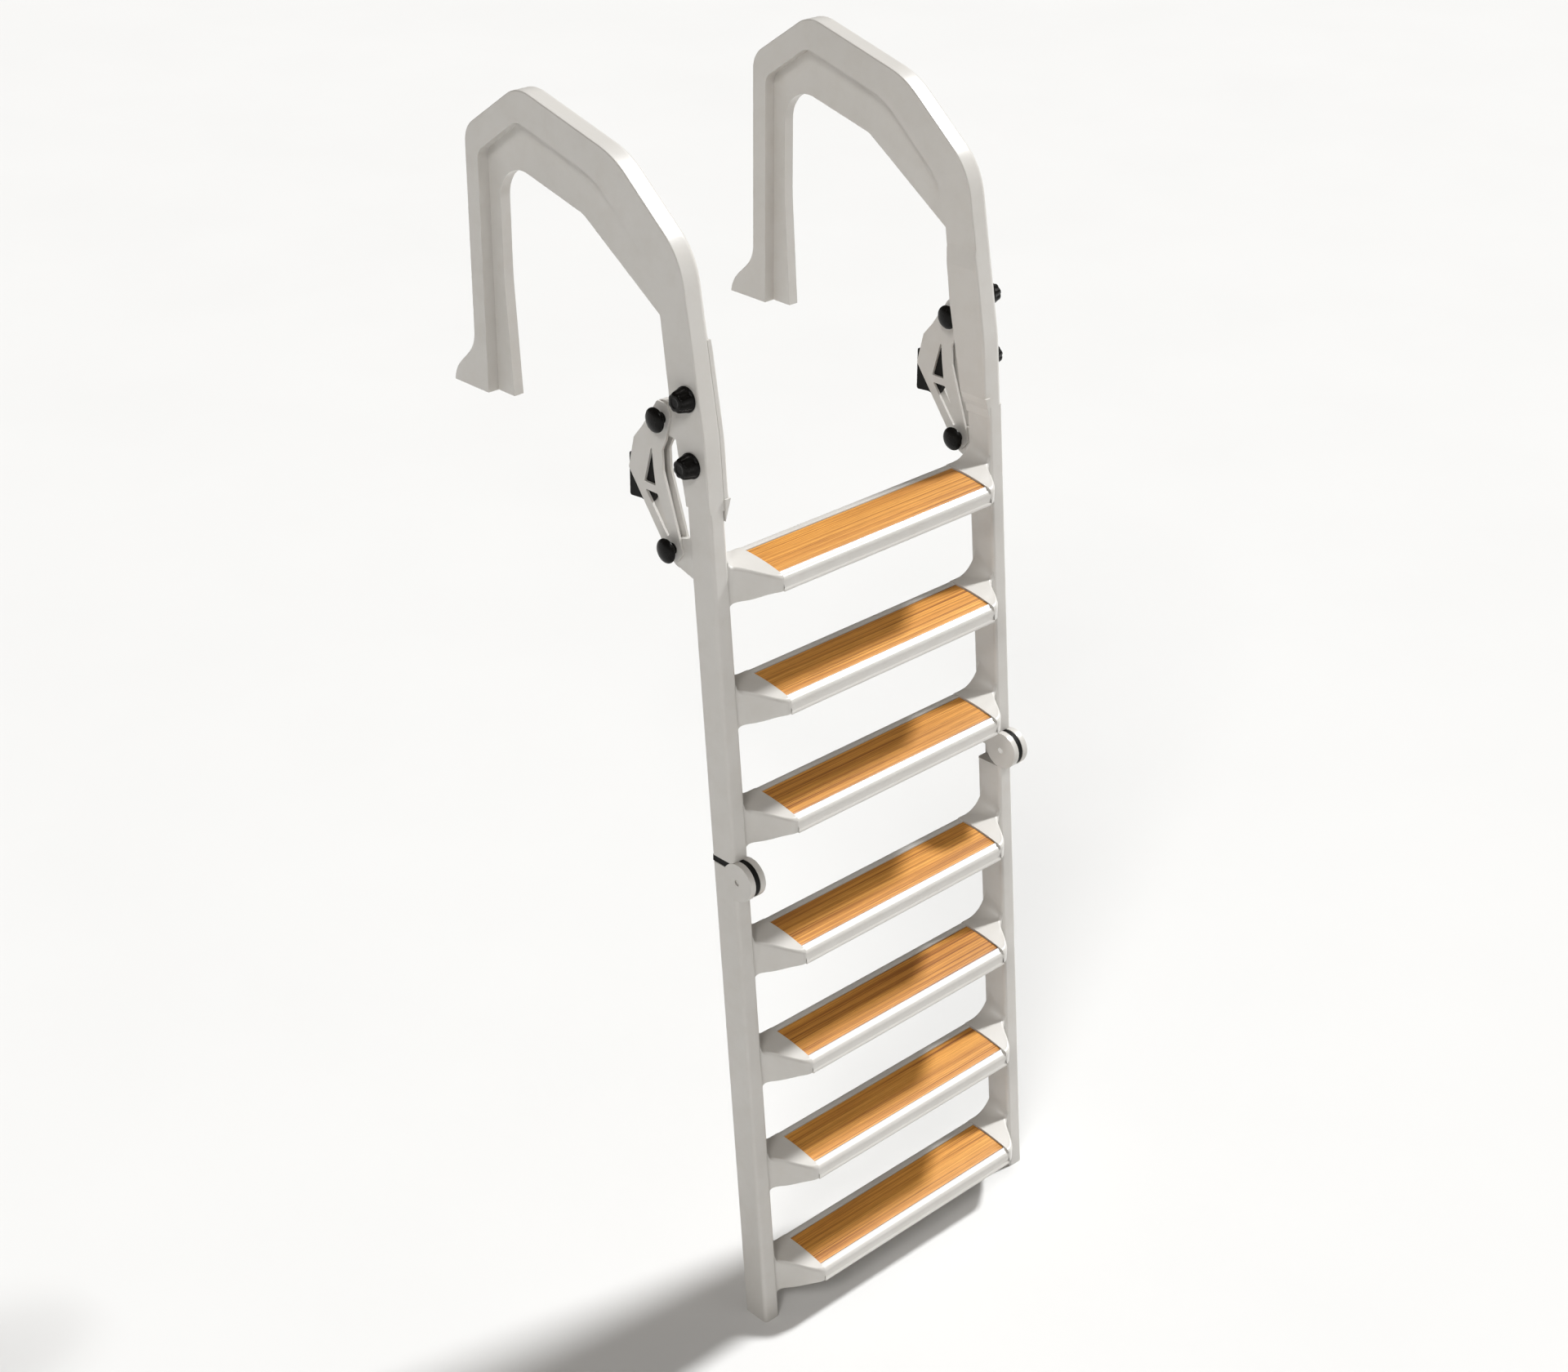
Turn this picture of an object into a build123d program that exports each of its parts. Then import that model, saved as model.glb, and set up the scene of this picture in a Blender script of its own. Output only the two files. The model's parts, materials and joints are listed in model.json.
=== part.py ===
"""Folding pool ladder: a leaning ladder in two sections on a fold hinge, wood-topped steps,
two removable handrail arches that stand on the deck, and a stand-off bracket behind each stringer.

Millimetres. +X across the ladder, +Z up, -Y towards the water. The origin is on the deck surface,
midway between the two handrail feet.
"""

import os
from math import asin, cos, radians, sin, tan

from build123d import *

# ---------------------------------------------------------------- driving dimensions
TREAD_LENGTH = 520.0  # wood insert, along X
TREAD_DEPTH = 83.0  # wood insert, front to back
STEP_PITCH = 230.0  # height from one step to the next
FOLD_PITCH = 265.0  # height from the last upper step to the first lower one
UPPER_STEPS = 3
LOWER_STEPS = 4
FIRST_STEP_Z = -158.0  # top of step 1, below the deck
FOOT_BELOW_LAST_STEP = 118.0  # stringer left below the last step

END_BRACKET_WIDTH = 69.0  # between an insert's end and its stringer
RAIL_WIDTH = 36.0  # stringer along X
RAIL_DEPTH = 57.0  # stringer front to back
REACH = 572.0  # from the feet to the stringers' rear face, at deck level
LEAN_DEG = 4.9
RAIL_EDGE = 7.0  # edge radius of the stringers

HANDRAIL_TOP = 584.0  # corner point of the arch's top, above the deck
ARCH_WIDTH = 44.0  # handrail rim along X
WEB_THICKNESS = 21.0  # recessed plate inside the rim
ARCH_SOFT_EDGE = 12.0  # outer edge on the web's side
ARCH_CRISP_EDGE = 2.5  # outer edge on the recessed side
ARM_WIDTH = 48.0  # handrail arm along X, where it sleeves over the stringer's tongue
ARM_WALL = 13.0  # arm left outside the tongue
ARM_EDGE = 5.0  # long inner edge of the sleeve
SLEEVE_TOP_Z = 240.0  # where the sleeve's inner face starts to stand out from the rim
SLEEVE_FULL_Z = 204.0
SHOULDER_Z = -52.0  # the stringer's upper end, where the arm stands on it
SLEEVE_SLOPE_Z = -32.0  # where the sleeve's inner face starts to slope back to the stringer's
SLEEVE_END_Z = -72.0
TONGUE_TOP_Z = 175.0
TONGUE_THICKNESS = 18.0
TONGUE_FRONT = 14.0  # tongue behind the stringer's front face
TONGUE_REAR = 10.0  # tongue in front of the stringer's rear face

KNOB_DIAMETER = 46.0
KNOB_TIP_DIAMETER = 34.0
KNOB_HEIGHT = 27.0
KNOB_FLUTES = 8
KNOB_FLUTE_DIAMETER = 13.0
KNOB_FLUTE_DEPTH = 3.0  # at the knob's base
KNOB_TIP_EDGE = 3.0
KNOB_SOCKET = 16.0  # how far the stud reaches into the knob
STUD_DIAMETER = 12.0
STUD_SKIN = 3.0  # tongue left over the stud's end
STUD_SETBACK = 8.0  # studs behind the stringer's centre line
KNOB_HEIGHTS = {"upper": 143.0, "lower": 27.0}  # above the deck

EAR_THICKNESS = 12.0
EAR_INSET = 8.0  # ear's middle plane, in from the stringer's outer face
EAR_ROOT = 8.0  # how far an ear reaches into its stringer
EAR_FLARE = 38.0  # half height of an ear at the stringer
EARS = {"upper": (48.0, 95.0, 30.0), "lower": (14.0, -146.0, 28.0)}  # back, up, radius
PINS = {"upper": (50.0, 94.0), "lower": (27.0, -139.0)}  # back, up
PIN_DIAMETER = 10.0
PIN_TAIL = 4.0  # pin past the inner plate
PULL_HEAD_DIAMETER = 45.0
PULL_HEAD_THICKNESS = 12.0
PULL_NECK_DIAMETER = 19.0
PULL_NECK_LENGTH = 12.0
PULL_RIM_LENGTH = 5.0  # from the neck's end to where the head's dome starts
PLATE_THICKNESS = 5.0
PLATE_CORNER = 6.0
CUT_CORNER = 1.5
BLOCK_CORNER = 4.0
BLOCK_REAR = 141.0  # rest block's rear face behind the stringers' rear face at deck level

FOLD_RADIUS = 36.5  # knuckle of the fold hinge
FOLD_PIN_DIAMETER = 12.0
FOLD_PIN_RECESS = 2.0
FOLD_PIN_PROUD = 5.0  # pin axis in front of the stringers' front face
FOLD_BELOW_STEP = 123.0  # pin axis below the last upper step
FOLD_EAR = 12.0  # each of the two ears of a knuckle
BUTT_ABOVE_PIN = 32.0  # end of the upper stringer above the pin axis
BUFFER_THICKNESS = 13.0
BUFFER_INSET = 1.5  # rubber set back from the faces around it

INSERT_THICKNESS = 9.0
INSERT_GAP = 0.4  # around the wood insert
CROWN_RADIUS = 420.0
CROWN_START_DEG = 2.0
TREAD_SETBACK = 22.5  # insert's rear edge in front of the stringers' rear face
STEP_BORDER = 15.0  # metal behind the insert
BORDER_PROUD = 1.5
NOSE_TOP = 15.0  # metal in front of the insert
NOSE_ROUND = 9.0
NOSE_HEIGHT = 27.0
LIP_HEIGHT = 6.0
LIP_PROUD = 2.5
STEP_SKIN = 5.0
BRACKET_PROUD = 3.0  # end brackets stand above the insert
BRACKET_DROP = 64.0  # end bracket's depth at the stringer
BRACKET_FOOT_Y = 32.0  # where the bracket's front leaves the stringer, ahead of the insert's rear
WAIST_ALONG = 0.6  # bend of the bracket's front edge, as a share of the bracket's length
WAIST_FORWARD = 0.45  # and as a share of the way from the stringer's end to the nose
TOP_BLEND_REAR = 50.0  # round blend up the stringer, at its rear
TOP_BLEND_FRONT = 8.0  # the same blend at its front
UNDER_BLEND = 21.0  # round blend down the stringer

BODY_GAP = 0.3  # between pieces that move past each other
FIT = 0.05  # radial clearance of a turning or sliding pin

# ---------------------------------------------------------------- derived places
LEAN = tan(radians(LEAN_DEG))
INNER_X = TREAD_LENGTH / 2 + END_BRACKET_WIDTH
OUTER_X = INNER_X + RAIL_WIDTH
ARM_INNER_X = OUTER_X - ARM_WIDTH
TONGUE_X = OUTER_X - ARM_WALL  # outer side of the tongue
EAR_CENTRE_X = OUTER_X - EAR_INSET
EAR_HALF = EAR_THICKNESS / 2 + BODY_GAP
SIDES = {"left": -1, "right": 1}


def rear_y(z):
    """Rear face of the stringers at height z."""
    return -REACH + LEAN * z


def front_y(z):
    """Front face of the stringers at height z."""
    return rear_y(z) - RAIL_DEPTH


def step_heights():
    """Heights of the step tops, from the top step down."""
    heights = [FIRST_STEP_Z - STEP_PITCH * i for i in range(UPPER_STEPS)]
    first_lower = heights[-1] - FOLD_PITCH
    return heights + [first_lower - STEP_PITCH * i for i in range(LOWER_STEPS)]


STEP_Z = step_heights()
FOLD_Z = STEP_Z[UPPER_STEPS - 1] - FOLD_BELOW_STEP
FOLD_Y = front_y(FOLD_Z) - FOLD_PIN_PROUD
BUTT_Z = FOLD_Z + BUTT_ABOVE_PIN
LOWER_TOP_Z = BUTT_Z - BUFFER_THICKNESS
LADDER_FOOT_Z = STEP_Z[-1] - FOOT_BELOW_LAST_STEP
EAR_INNER_X = OUTER_X - FOLD_EAR  # inner side of the fold's outer ear
KNUCKLE_X = INNER_X + FOLD_EAR  # outer side of the fold's inner ear


def side(x, y=0.0, z=0.0):
    """Plane across the ladder at x: local x runs along +Y, local y along +Z."""
    return Plane(origin=(x, y, z), x_dir=(0, 1, 0), z_dir=(1, 0, 0))


def between(a, b):
    """Plane at the smaller of two x values, and the distance to the larger."""
    return side(min(a, b)), abs(b - a)


def save(part, name):
    """Label a finished piece and write its STEP file."""
    part.label = name
    export_step(part, f"parts/{name}.step")


def polygon_part(points, x_a, x_b, radius=0.0):
    """Prism of a side outline between two x values, with its corners rounded."""
    plane, length = between(x_a, x_b)
    with BuildPart() as prism:
        with BuildSketch(plane) as sketch:
            with BuildLine():
                if radius > 0:
                    FilletPolyline(*points, radius=radius, close=True)
                else:
                    Polyline(*points, close=True)
            make_face()
        extrude(sketch.sketch, amount=length)
    return prism.part


def disc(y, z, radius, x_a, x_b):
    """Round slug along X between two x values."""
    plane, length = between(x_a, x_b)
    with BuildPart() as slug:
        with BuildSketch(plane):
            with Locations((y, z)):
                Circle(radius)
        extrude(amount=length)
    return slug.part


def slab(x_a, x_b, y_a, y_b, z_a, z_b):
    """Block between two corners."""
    with BuildPart() as block:
        with Locations(((x_a + x_b) / 2, (y_a + y_b) / 2, (z_a + z_b) / 2)):
            Box(abs(x_b - x_a), abs(y_b - y_a), abs(z_b - z_a))
    return block.part


def behind(points):
    """Outline given as (back, up) from the stringers' rear face at deck level, as (y, z)."""
    return [(back - REACH, up) for back, up in points]


def from_top(points):
    """Outline given as (back, down) from the stringers' rear face and the arch's top, as (y, z)."""
    return [(back - REACH, HANDRAIL_TOP - down) for back, down in points]


os.makedirs("parts", exist_ok=True)

# ---------------------------------------------------------------- handrail arches
# Side view, as (y, z). The outer line runs up the leg, over the top and down the arm; the rim's
# inner line bounds the raised rim, and the hollow's line bounds the thinner web inside it.
FOOT_REAR = (49.0, 0.0)
ARM_END_Z = SHOULDER_Z
ARM_KINK_Z = 75.0
ARM_END_FRONT = (front_y(ARM_END_Z), ARM_END_Z)
ARM_END_REAR = (rear_y(ARM_END_Z), ARM_END_Z)
LEG_REAR_Y = -14.0
LEG_FRONT_Y = -49.0
OUTER_LINE = [
    (LEG_REAR_Y, 110),
    (LEG_REAR_Y, HANDRAIL_TOP - 101),
    (-161, HANDRAIL_TOP),
    *from_top([(164, 66), (4.5, 200.6)]),
    (front_y(ARM_KINK_Z), ARM_KINK_Z),
    ARM_END_FRONT,
]
OUTER_RADII = (50, 70, 170, 140, 300)
RIM_LINE = [
    ARM_END_REAR,
    *behind([(34, 130)]),
    *from_top([(54, 312), (80, 230), (214.4, 115.1)]),
    (-158, HANDRAIL_TOP - 60),
    (LEG_FRONT_Y, HANDRAIL_TOP - 137),
    (LEG_FRONT_Y, 0),
]
RIM_RADII = (300, 150, 75, 150, 44, 28)
HOLLOW_LINE = [
    ARM_END_REAR,
    *behind([(34, 130)]),
    *from_top([(50, 344), (271.4, 194.9)]),
    (LEG_FRONT_Y - 30, HANDRAIL_TOP - 139),
    (LEG_FRONT_Y - 30, 220),
    (LEG_FRONT_Y - 45, 0),
]
HOLLOW_RADII = (300, 14, 45, 62, 700)


def arch_face(inner_points, inner_radii):
    """Arch between its outer line and the given inner line."""
    with BuildSketch() as sketch:
        with BuildLine():
            top = FilletPolyline(*OUTER_LINE, radius=OUTER_RADII)
            inner = FilletPolyline(*inner_points, radius=inner_radii)
            Line(top @ 1, inner @ 0)
            Line(inner @ 1, FOOT_REAR)
            Spline(FOOT_REAR, top @ 0, tangents=((-0.12, 1), (0, 1)))
        make_face()
    return sketch.sketch


def outer_line_at(x):
    """The arch's outer line as a wire at x, for choosing its edges."""
    with BuildLine(side(x)) as line:
        top = FilletPolyline(*OUTER_LINE, radius=OUTER_RADII)
        Spline(FOOT_REAR, top @ 0, tangents=((-0.12, 1), (0, 1)))
    return line.wires()[0]


def edges_on(part, wire):
    """Edges of a part that lie on a wire."""
    return ShapeList(e for e in part.edges() if wire.distance_to(Vertex(e @ 0.5)) < 0.05)


def stud_y(height):
    """Where a clamp knob's stud crosses the arm, front to back."""
    return (front_y(height) + rear_y(height)) / 2 + STUD_SETBACK


def pin_axis(which):
    """Where a pull pin crosses the bracket, as (y, z)."""
    back, up = PINS[which]
    return back - REACH, up


def ear_solid(which, hand):
    """Rounded ear behind a stringer, reaching forward into it."""
    back, z, radius = EARS[which]
    y = back - REACH
    x = hand * EAR_CENTRE_X
    x_a, x_b = x - EAR_THICKNESS / 2, x + EAR_THICKNESS / 2
    root_y = rear_y(z) - EAR_ROOT
    root = [(y, z + radius), (y, z - radius), (root_y, z - EAR_FLARE), (root_y, z + EAR_FLARE)]
    neck = polygon_part(root, x_a, x_b)
    tip = disc(y, z, radius, x_a, x_b)
    hole = disc(*pin_axis(which), PIN_DIAMETER / 2 + FIT, x_a - 1, x_b + 1)
    with BuildPart() as ear:
        add(neck)
        add(tip)
        add(hole, mode=Mode.SUBTRACT)
    return ear.part


def tongue(hand, gap=0.0):
    """Tongue on top of a stringer, or with a gap its room in the handrail's sleeve."""
    bottom, top = SHOULDER_Z - 1, TONGUE_TOP_Z + gap
    front, rear = TONGUE_FRONT - gap, TONGUE_REAR - gap
    line = [
        (front_y(bottom) + front, bottom),
        (rear_y(bottom) - rear, bottom),
        (rear_y(top) - rear, top),
        (front_y(top) + front, top),
    ]
    outer = TONGUE_X + gap
    return polygon_part(line, hand * outer, hand * (TONGUE_X - TONGUE_THICKNESS - gap))


def sleeve_cheek(hand):
    """Inner wall of the handrail's sleeve, sloped at its top and at its foot."""
    plane, length = between(hand * ARM_INNER_X, hand * INNER_X)
    front, rear = front_y(SLEEVE_END_Z), EARS["upper"][0] - REACH
    rim_x = OUTER_X - ARCH_WIDTH
    with BuildPart() as side_view:
        with BuildSketch(plane):
            add(arch_face(RIM_LINE, RIM_RADII))
            with Locations(((front + rear_y(SLEEVE_END_Z)) / 2, SHOULDER_Z)):
                Rectangle(RAIL_DEPTH, 2 * (SHOULDER_Z - SLEEVE_END_Z))
        extrude(amount=length)
        with BuildSketch(Plane(origin=(0, front - 1, 0), x_dir=(1, 0, 0), z_dir=(0, 1, 0))):
            with BuildLine():
                Polyline(
                    (hand * (rim_x + 1), -SLEEVE_TOP_Z),
                    (hand * rim_x, -SLEEVE_TOP_Z),
                    (hand * ARM_INNER_X, -SLEEVE_FULL_Z),
                    (hand * ARM_INNER_X, -SLEEVE_SLOPE_Z),
                    (hand * INNER_X, -SLEEVE_END_Z),
                    (hand * INNER_X, -SLEEVE_TOP_Z),
                    close=True,
                )
            make_face()
        extrude(amount=rear - front + 1, mode=Mode.INTERSECT)
        fillet(edges_on(side_view.part, outer_line_at(hand * ARM_INNER_X)), ARM_EDGE)
    return side_view.part


def handrail(hand):
    """One arch: raised rim, recessed web on its +X side, sleeved arm and upper bracket ear."""
    x_low = -OUTER_X if hand < 0 else OUTER_X - ARCH_WIDTH
    x_high = x_low + ARCH_WIDTH
    cheek = sleeve_cheek(hand)
    socket = tongue(hand, BODY_GAP)
    ear = ear_solid("upper", hand)
    with BuildPart() as arch:
        with BuildSketch(side(x_low)):
            add(arch_face(RIM_LINE, RIM_RADII))
        extrude(amount=ARCH_WIDTH)
        with BuildSketch(side(x_high - WEB_THICKNESS)):
            add(arch_face(HOLLOW_LINE, HOLLOW_RADII))
        extrude(amount=WEB_THICKNESS)
        fillet(edges_on(arch.part, outer_line_at(x_high)), ARCH_SOFT_EDGE)
        fillet(edges_on(arch.part, outer_line_at(x_low)), ARCH_CRISP_EDGE)
        add(cheek)
        add(ear)
        add(socket, mode=Mode.SUBTRACT)
        for height in KNOB_HEIGHTS.values():
            with BuildSketch(side(hand * TONGUE_X)):
                with Locations((stud_y(height), height)):
                    Circle(STUD_DIAMETER / 2 + FIT)
            extrude(amount=hand * ARM_WIDTH, mode=Mode.SUBTRACT)
    return arch.part


for name, hand in SIDES.items():
    save(handrail(hand), f"handrail_{name}")

# ---------------------------------------------------------------- stringers


def rail(z_top, z_bottom, hand):
    """Plain length of stringer with rounded long edges."""
    ends = [
        (front_y(z_bottom), z_bottom),
        (rear_y(z_bottom), z_bottom),
        (rear_y(z_top), z_top),
        (front_y(z_top), z_top),
    ]
    plane, length = between(hand * INNER_X, hand * OUTER_X)
    with BuildPart() as bar:
        with BuildSketch(plane):
            with BuildLine():
                Polyline(*ends, close=True)
            make_face()
        extrude(amount=length)
        long_edges = bar.edges().filter_by(lambda e: abs(e.tangent_at(0.5).Z) > 0.9)
        fillet(long_edges, RAIL_EDGE)
    return bar.part


def upper_stringer(hand):
    """Stringer of the upper section: tongue above, bracket ear behind, fold knuckle below."""
    bar = rail(SHOULDER_Z, FOLD_Z, hand)
    outer_zone = slab(
        hand * KNUCKLE_X,
        hand * (OUTER_X + 1),
        FOLD_Y,
        rear_y(BUTT_Z) + 1,
        FOLD_Z - FOLD_RADIUS,
        BUTT_Z,
    )
    knuckle_room = disc(
        FOLD_Y, FOLD_Z, FOLD_RADIUS + BODY_GAP, hand * KNUCKLE_X, hand * (OUTER_X + 1)
    )
    knuckle = disc(FOLD_Y, FOLD_Z, FOLD_RADIUS, hand * INNER_X, hand * KNUCKLE_X)
    pin_hole = disc(FOLD_Y, FOLD_Z, FOLD_PIN_DIAMETER / 2, 0, hand * OUTER_X)
    arm_tongue = tongue(hand)
    ear = ear_solid("lower", hand)
    with BuildPart() as stringer:
        add(bar)
        add(outer_zone, mode=Mode.SUBTRACT)
        add(knuckle_room, mode=Mode.SUBTRACT)
        add(knuckle)
        add(arm_tongue)
        add(ear)
        add(pin_hole, mode=Mode.SUBTRACT)
        for height in KNOB_HEIGHTS.values():
            with BuildSketch(side(hand * (TONGUE_X - TONGUE_THICKNESS + STUD_SKIN))):
                with Locations((stud_y(height), height)):
                    Circle(STUD_DIAMETER / 2 + FIT)
            extrude(amount=hand * TONGUE_THICKNESS, mode=Mode.SUBTRACT)
    return stringer.part


def lower_stringer(hand):
    """Stringer of the lower section, with the fold's outer ear at its top."""
    bar = rail(LOWER_TOP_Z, LADDER_FOOT_Z, hand)
    inner_zone = slab(
        hand * (INNER_X - 1),
        hand * EAR_INNER_X,
        FOLD_Y,
        rear_y(LOWER_TOP_Z) + 1,
        FOLD_Z - FOLD_RADIUS - BODY_GAP,
        LOWER_TOP_Z + 1,
    )
    knuckle_room = disc(
        FOLD_Y, FOLD_Z, FOLD_RADIUS + BODY_GAP, hand * (INNER_X - 1), hand * EAR_INNER_X
    )
    ear = disc(FOLD_Y, FOLD_Z, FOLD_RADIUS, hand * EAR_INNER_X, hand * OUTER_X)
    pin_hole = disc(FOLD_Y, FOLD_Z, FOLD_PIN_DIAMETER / 2 + FIT, 0, hand * (OUTER_X + 1))
    with BuildPart() as stringer:
        add(bar)
        add(inner_zone, mode=Mode.SUBTRACT)
        add(knuckle_room, mode=Mode.SUBTRACT)
        add(ear)
        add(pin_hole, mode=Mode.SUBTRACT)
    return stringer.part


for name, hand in SIDES.items():
    save(upper_stringer(hand), f"upper_stringer_{name}")
    save(lower_stringer(hand), f"lower_stringer_{name}")


def fold_buffer(hand):
    """Black spacer of a fold knuckle: a disc between the ears and a pad in the butt joint."""
    x_outer = hand * (EAR_INNER_X - BODY_GAP)
    washer = disc(FOLD_Y, FOLD_Z, FOLD_RADIUS - BUFFER_INSET, hand * KNUCKLE_X, x_outer)
    pad = slab(
        hand * KNUCKLE_X,
        hand * (OUTER_X - BUFFER_INSET),
        FOLD_Y,
        rear_y(BUTT_Z) - BUFFER_INSET,
        LOWER_TOP_Z + BODY_GAP,
        BUTT_Z,
    )
    ear_room = disc(FOLD_Y, FOLD_Z, FOLD_RADIUS + BODY_GAP, x_outer, hand * (OUTER_X + 1))
    hole = disc(FOLD_Y, FOLD_Z, FOLD_PIN_DIAMETER / 2, 0, hand * OUTER_X)
    with BuildPart() as buffer:
        add(pad)
        add(ear_room, mode=Mode.SUBTRACT)
        add(washer)
        add(hole, mode=Mode.SUBTRACT)
    return buffer.part


for name, hand in SIDES.items():
    save(fold_buffer(hand), f"fold_buffer_{name}")
    pin = disc(
        FOLD_Y, FOLD_Z, FOLD_PIN_DIAMETER / 2, hand * INNER_X, hand * (OUTER_X - FOLD_PIN_RECESS)
    )
    save(pin, f"fold_pin_{name}")

# ---------------------------------------------------------------- steps
# A step is drawn about its insert's top rear edge: local y forward is negative, z up.
START = radians(CROWN_START_DEG)


def crown_point(radius, depth):
    """Point on an arc concentric with the insert's crown, at a distance forward of its start."""
    centre_y = CROWN_RADIUS * sin(START)
    centre_z = -CROWN_RADIUS * cos(START)
    swing = asin((depth + centre_y) / radius)
    return (-depth, centre_z + radius * cos(swing))


def insert_face(gap, top):
    """Side view of the insert, grown by a gap at its front and rear and raised at its top."""
    bottom = CROWN_RADIUS - INSERT_THICKNESS
    crest = CROWN_RADIUS + top
    with BuildSketch() as sketch:
        with BuildLine():
            upper = ThreePointArc(
                crown_point(crest, -gap),
                crown_point(crest, TREAD_DEPTH / 2),
                crown_point(crest, TREAD_DEPTH + gap),
            )
            lower = ThreePointArc(
                crown_point(bottom, TREAD_DEPTH + gap),
                crown_point(bottom, TREAD_DEPTH / 2),
                crown_point(bottom, -gap),
            )
            Line(upper @ 1, lower @ 0)
            Line(lower @ 1, upper @ 0)
        make_face()
    return sketch.sketch


NOSE_Y = -TREAD_DEPTH - NOSE_TOP
NOSE_Z = crown_point(CROWN_RADIUS, TREAD_DEPTH + NOSE_TOP)[1]
NOSE_FOOT_Z = NOSE_Z - NOSE_HEIGHT
FLOOR_Z = crown_point(CROWN_RADIUS - INSERT_THICKNESS - STEP_SKIN, TREAD_DEPTH)[1]


def channel():
    """The step's casting between its end brackets: a shallow channel, open below."""
    rim = [
        (STEP_BORDER, BORDER_PROUD),
        (-2, BORDER_PROUD),
        (-TREAD_DEPTH, crown_point(CROWN_RADIUS, TREAD_DEPTH)[1] + BORDER_PROUD / 2),
        (NOSE_Y, NOSE_Z),
        (NOSE_Y, NOSE_FOOT_Z + LIP_HEIGHT),
        (NOSE_Y - LIP_PROUD, NOSE_FOOT_Z + LIP_HEIGHT - LIP_PROUD),
        (NOSE_Y - LIP_PROUD, NOSE_FOOT_Z),
        (NOSE_Y + STEP_SKIN, NOSE_FOOT_Z),
        (NOSE_Y + STEP_SKIN, FLOOR_Z),
        (-TREAD_DEPTH, FLOOR_Z),
        (STEP_BORDER - STEP_SKIN, -INSERT_THICKNESS - STEP_SKIN),
        (STEP_BORDER - STEP_SKIN, NOSE_FOOT_Z + LIP_HEIGHT),
        (STEP_BORDER, NOSE_FOOT_Z + LIP_HEIGHT),
    ]
    half = TREAD_LENGTH / 2 + INSERT_GAP
    radii = (2.5, 20, 30, NOSE_ROUND, 1, 1, 1.5, 1.5, 1.5, 3, 2, 1.5, 1.5)
    with BuildPart() as body:
        with BuildSketch(side(-half)):
            with BuildLine():
                FilletPolyline(*rim, radius=radii, close=True)
            make_face()
        extrude(amount=2 * half)
    return body.part


def end_bracket(hand):
    """Solid end of a step: an S-curved bracket, deeper at the stringer than at the nose."""
    inner = hand * (TREAD_LENGTH / 2 + INSERT_GAP)
    stringer = hand * INNER_X
    reach = stringer - inner
    foot = (stringer, -BRACKET_FOOT_Y)
    waist_y = -BRACKET_FOOT_Y - WAIST_FORWARD * (-NOSE_Y - BRACKET_FOOT_Y)
    waist = (inner + WAIST_ALONG * reach, waist_y)
    nose = (inner + hand * INSERT_GAP, NOSE_Y)
    profile = [
        (STEP_BORDER, BRACKET_PROUD),
        (-TREAD_DEPTH / 2, crown_point(CROWN_RADIUS, TREAD_DEPTH / 2)[1] + BRACKET_PROUD),
        (NOSE_Y, NOSE_Z + BRACKET_PROUD),
        (NOSE_Y, NOSE_FOOT_Z),
        (-BRACKET_FOOT_Y, -BRACKET_DROP),
        (STEP_BORDER, -BRACKET_DROP),
    ]
    rounding = (4, 120, NOSE_ROUND, 4, 60, 8)
    with BuildPart() as bracket:
        with BuildSketch(Plane.XY.offset(-BRACKET_DROP)):
            with BuildLine():
                Polyline(nose, (inner, NOSE_Y), (inner, STEP_BORDER), (stringer, STEP_BORDER), foot)
                Spline(foot, waist, nose, tangents=((-hand, -0.3), (-hand, -0.2)))
            make_face()
        extrude(amount=BRACKET_DROP + BRACKET_PROUD + 1)
        with BuildSketch(side(0)):
            with BuildLine():
                FilletPolyline(*profile, radius=rounding, close=True)
            make_face()
        extrude(amount=hand * OUTER_X, mode=Mode.INTERSECT)
    return bracket.part


def blend_face(hand, y, z, radius, up):
    """Corner between a bracket's flat face at height z and the stringer, rounded to an arc."""
    stringer = hand * INNER_X
    tip = stringer - hand * radius
    root = z - up * BRACKET_PROUD
    with BuildSketch(Plane(origin=(0, y, 0), x_dir=(1, 0, 0), z_dir=(0, -1, 0))) as sketch:
        with BuildLine():
            Polyline((tip, z), (tip, root), (stringer, root), (stringer, z + up * radius))
            RadiusArc((stringer, z + up * radius), (tip, z), up * hand * radius)
        make_face()
    return sketch.sketch


def blends(hand):
    """Round blends from a bracket's top and underside to the stringer's inner face."""
    rear = blend_face(hand, STEP_BORDER, BRACKET_PROUD, TOP_BLEND_REAR, 1)
    front = blend_face(hand, -BRACKET_FOOT_Y, BRACKET_PROUD, TOP_BLEND_FRONT, 1)
    under = blend_face(hand, STEP_BORDER, -BRACKET_DROP, UNDER_BLEND, -1)
    with BuildPart() as above:
        loft([rear, front], ruled=True)
    with BuildPart() as below:
        extrude(under, amount=STEP_BORDER + BRACKET_FOOT_Y)
    return [above.part, below.part]


def casting():
    """One step casting, about its insert's top rear edge."""
    body = channel()
    ends = [piece for hand in SIDES.values() for piece in (end_bracket(hand), *blends(hand))]
    half = TREAD_LENGTH / 2 + INSERT_GAP
    with BuildPart() as step:
        add(body)
        add(ends)
        with BuildSketch(side(-half)):
            add(insert_face(INSERT_GAP, BRACKET_PROUD + 5))
        extrude(amount=2 * half, mode=Mode.SUBTRACT)
    return step.part


def insert():
    """Crowned wood insert of a step."""
    with BuildPart() as board:
        with BuildSketch(side(-TREAD_LENGTH / 2)):
            add(insert_face(0, 0))
        extrude(amount=TREAD_LENGTH)
    return board.part


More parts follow.
